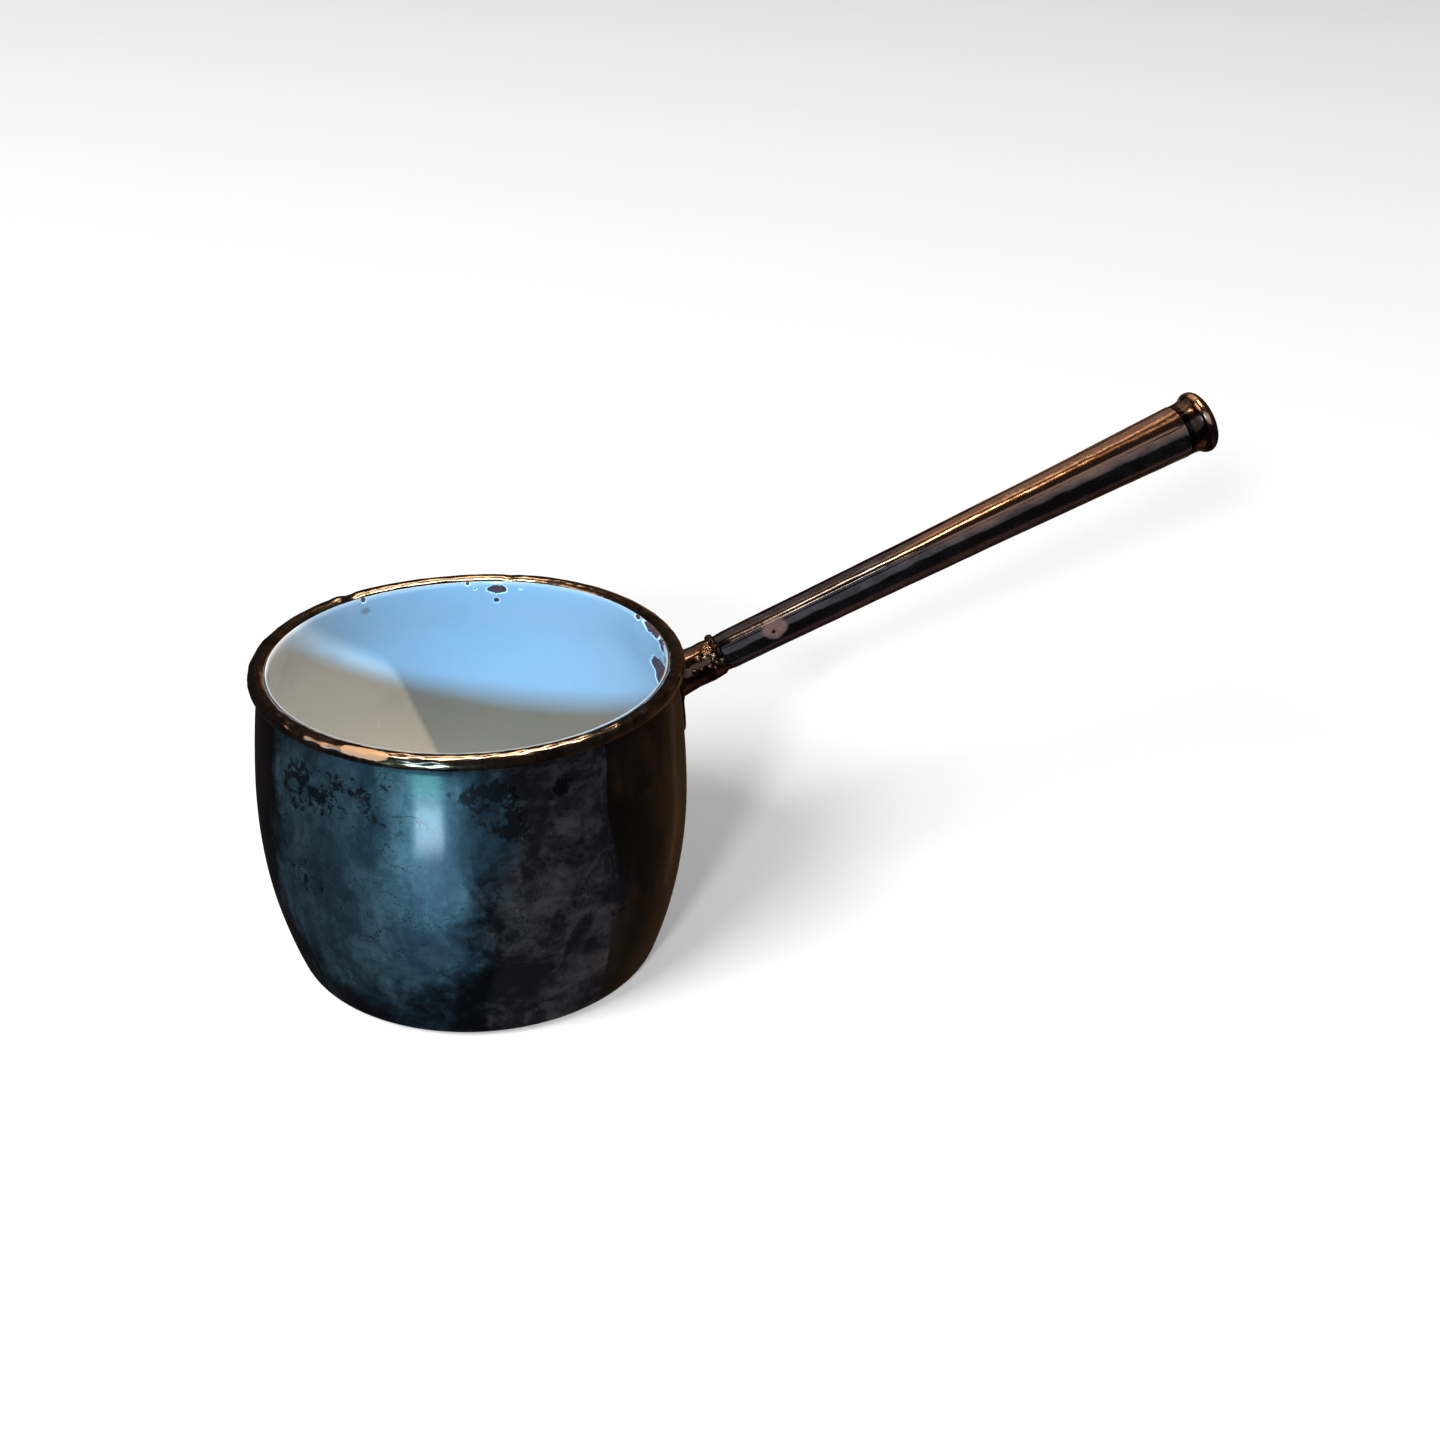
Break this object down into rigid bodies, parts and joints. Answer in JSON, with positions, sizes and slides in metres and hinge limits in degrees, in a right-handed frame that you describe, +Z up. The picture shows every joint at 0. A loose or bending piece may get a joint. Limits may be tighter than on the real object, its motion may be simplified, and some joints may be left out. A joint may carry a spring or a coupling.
{
  "type": "saucepan",
  "caption": "Small deep saucepan with a wire-rolled rim, an enamel lining and a long upswept hollow tube handle with a flared end cap.",
  "frame": {"origin": "centre of the flat base, on the surface that the pan stands on", "axes": "+Z up along the pan's axis, +X from the pan's axis towards the handle, +Y across the handle"},
  "size_m": [0.3806, 0.1568, 0.1838],
  "materials": {
    "tarnished_copper": "gloss",
    "iron_wire": "satin",
    "ground_enamel": "satin",
    "cover_enamel": "polished",
    "brown_copper": "gloss",
    "braze": "gloss",
    "handle_copper": "gloss"
  },
  "bodies": {
    "root": {"pan_body": "tarnished_copper", "rim_wire": "iron_wire", "ground_coat": "ground_enamel", "enamel_lining": "cover_enamel", "handle_saddle": "brown_copper", "saddle_braze": "braze", "handle_neck": "brown_copper", "neck_braze": "braze", "handle_tube": "handle_copper", "handle_cap": "brown_copper"}
  },
  "joints": []
}
